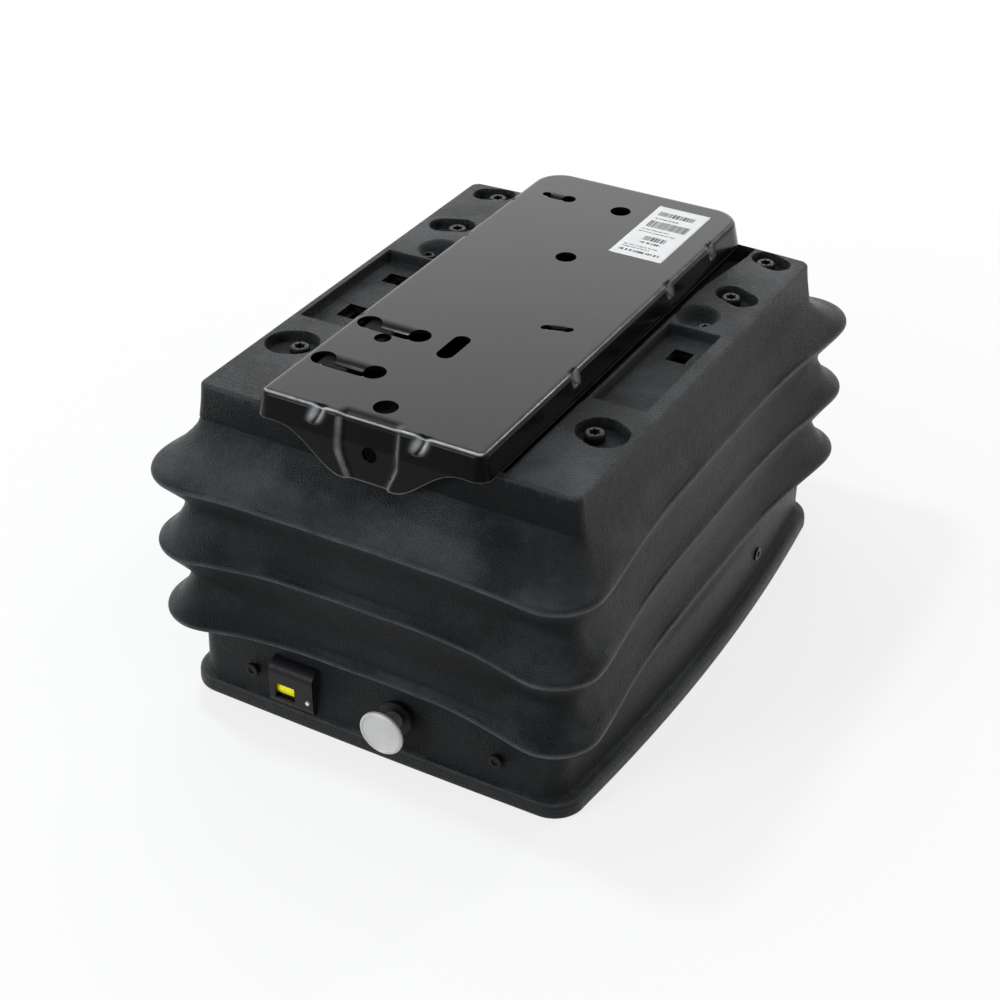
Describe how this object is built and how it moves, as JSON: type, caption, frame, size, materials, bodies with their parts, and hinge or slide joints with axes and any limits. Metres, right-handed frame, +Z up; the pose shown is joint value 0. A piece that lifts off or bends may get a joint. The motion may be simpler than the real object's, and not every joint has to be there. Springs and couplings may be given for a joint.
{
  "type": "air seat suspension unit",
  "caption": "Air-sprung suspension base for a tractor seat: steel pan, crossed arms under a folded rubber gaiter, and a folded steel plate on top that takes the seat.",
  "frame": {"origin": "middle of the base plate's underside, on the floor", "axes": "+Z up, -Y the front with the adjuster, +X right seen from the front"},
  "size_m": [0.353, 0.475, 0.2697],
  "materials": {
    "pan_steel": "black paint on pressed steel",
    "plate_steel": "black dip coat, satin to gloss",
    "rail_steel": "black paint on folded steel",
    "zinc_steel": "bright zinc plate",
    "rubber": "fine grained black rubber",
    "hose_rubber": "smooth black hose",
    "black_plastic": "moulded black plastic",
    "knob_plastic": "pale grey plastic",
    "stem_plastic": "grey green plastic",
    "roller_plastic": "natural nylon",
    "signal_yellow": "yellow indicator drum",
    "pale_pin": "pale plastic pin",
    "bronze": "sintered bronze bush",
    "motor_steel": "black motor shell",
    "cast_alloy": "cast light alloy",
    "paper": "white label",
    "screw_steel": "black screws"
  },
  "bodies": {
    "base": {"base_pan": "pan_steel", "lower_rail_left": "rail_steel", "lower_rail_right": "rail_steel", "bump_buffers": "hose_rubber", "rebound_buffers": "hose_rubber", "lower_brackets": "rail_steel", "lower_pivot_shaft": "zinc_steel", "air_spring_piston": "black_plastic", "air_spring_sleeve": "hose_rubber", "air_spring_clamp": "zinc_steel", "control_valve": "cast_alloy", "valve_bracket": "rail_steel", "adjuster_bushing": "black_plastic", "indicator_housing": "black_plastic", "indicator_pin": "pale_pin", "indicator_axle": "zinc_steel", "skirt_screws": "screw_steel", "compressor_motor": "motor_steel", "compressor_head": "cast_alloy", "compressor_saddle": "black_plastic", "supply_hose": "hose_rubber", "spring_hose": "hose_rubber", "cable_grommet": "hose_rubber", "gaiter": "rubber"},
    "outer_scissor": {"outer_arm_left": "rail_steel", "outer_arm_right": "rail_steel", "outer_front_shaft": "zinc_steel", "lower_pivot_bushes": "bronze", "centre_pivot_bolts": "zinc_steel", "damper_rear_pin": "zinc_steel", "upper_roller_clips": "zinc_steel"},
    "inner_scissor": {"inner_arm_left": "rail_steel", "inner_arm_right": "rail_steel", "inner_front_shaft": "zinc_steel", "upper_pivot_bushes": "bronze", "centre_bushes": "bronze", "roller_sleeves": "zinc_steel", "damper_front_pin": "zinc_steel", "lower_roller_clips": "zinc_steel"},
    "upper_roller_left": {"upper_roller_left": "roller_plastic"},
    "upper_roller_right": {"upper_roller_right": "roller_plastic"},
    "lower_roller_left": {"lower_roller_left": "roller_plastic"},
    "lower_roller_right": {"lower_roller_right": "roller_plastic"},
    "damper_tube": {"damper_cylinder": "pan_steel"},
    "damper_piston": {"damper_rod": "zinc_steel"},
    "upper_frame": {"upper_pan": "pan_steel", "upper_rail_left": "rail_steel", "upper_rail_right": "rail_steel", "upper_brackets": "rail_steel", "upper_pivot_shaft": "zinc_steel", "air_spring_cap": "cast_alloy", "plate_carriers": "rail_steel", "seat_plate": "plate_steel", "deck_screws": "screw_steel", "rating_label": "paper"},
    "adjuster": {"adjuster_knob": "knob_plastic", "adjuster_stem": "stem_plastic"},
    "indicator": {"indicator_drum": "signal_yellow"}
  },
  "joints": [
    {"name": "suspension_travel", "type": "hinge", "parent": "base", "child": "outer_scissor", "pos_m": [0, 0.155, 0.0184], "axis": [-1, 0, 0], "range_deg": [-18.66, 0], "stiffness_Nm_per_rad": 180, "springref_deg": 31.51, "deforming": ["gaiter", "air_spring_sleeve"]},
    {"name": "scissor_crossing", "type": "hinge", "parent": "outer_scissor", "child": "inner_scissor", "pos_m": [0, 0.03099, 0.1195], "axis": [-1, 0, 0], "range_deg": [0, 37.34]},
    {"name": "upper_frame_level", "type": "hinge", "parent": "inner_scissor", "child": "upper_frame", "pos_m": [0, 0.155, 0.2206], "axis": [-1, 0, 0], "range_deg": [-18.67, 0]},
    {"name": "damper_tube_pin", "type": "hinge", "parent": "outer_scissor", "child": "damper_tube", "pos_m": [-0.088, 0.11625, 0.04999], "axis": [-1, 0, 0], "range_deg": [0, 18.67]},
    {"name": "damper_rod_pin", "type": "hinge", "parent": "inner_scissor", "child": "damper_piston", "pos_m": [-0.088, -0.05427, 0.04999], "axis": [-1, 0, 0], "range_deg": [-18.67, 0]},
    {"name": "upper_roller_left_spin", "type": "hinge", "parent": "outer_scissor", "child": "upper_roller_left", "pos_m": [-0.13055, -0.09302, 0.2206], "axis": [-1, 0, 0], "continuous": true},
    {"name": "lower_roller_left_spin", "type": "hinge", "parent": "inner_scissor", "child": "lower_roller_left", "pos_m": [-0.13055, -0.09302, 0.0184], "axis": [-1, 0, 0], "continuous": true},
    {"name": "upper_roller_right_spin", "type": "hinge", "parent": "outer_scissor", "child": "upper_roller_right", "pos_m": [0.13055, -0.09302, 0.2206], "axis": [-1, 0, 0], "continuous": true},
    {"name": "lower_roller_right_spin", "type": "hinge", "parent": "inner_scissor", "child": "lower_roller_right", "pos_m": [0.13055, -0.09302, 0.0184], "axis": [-1, 0, 0], "continuous": true},
    {"name": "adjuster_pull", "type": "slide", "parent": "base", "child": "adjuster", "axis": [0, -1, 0], "range_m": [-0.008, 0.008], "stiffness_N_per_m": 400},
    {"name": "indicator_turn", "type": "hinge", "parent": "base", "child": "indicator", "pos_m": [-0.071, -0.209, 0.0265], "axis": [-1, 0, 0], "range_deg": [-56.01, 0]}
  ],
  "couplings": [
    {"joint": "scissor_crossing", "follows": "suspension_travel", "ratio": -2},
    {"joint": "upper_frame_level", "follows": "suspension_travel", "ratio": 1},
    {"joint": "damper_tube_pin", "follows": "suspension_travel", "ratio": -1},
    {"joint": "damper_rod_pin", "follows": "suspension_travel", "ratio": 1},
    {"joint": "indicator_turn", "follows": "suspension_travel", "ratio": 3}
  ]
}
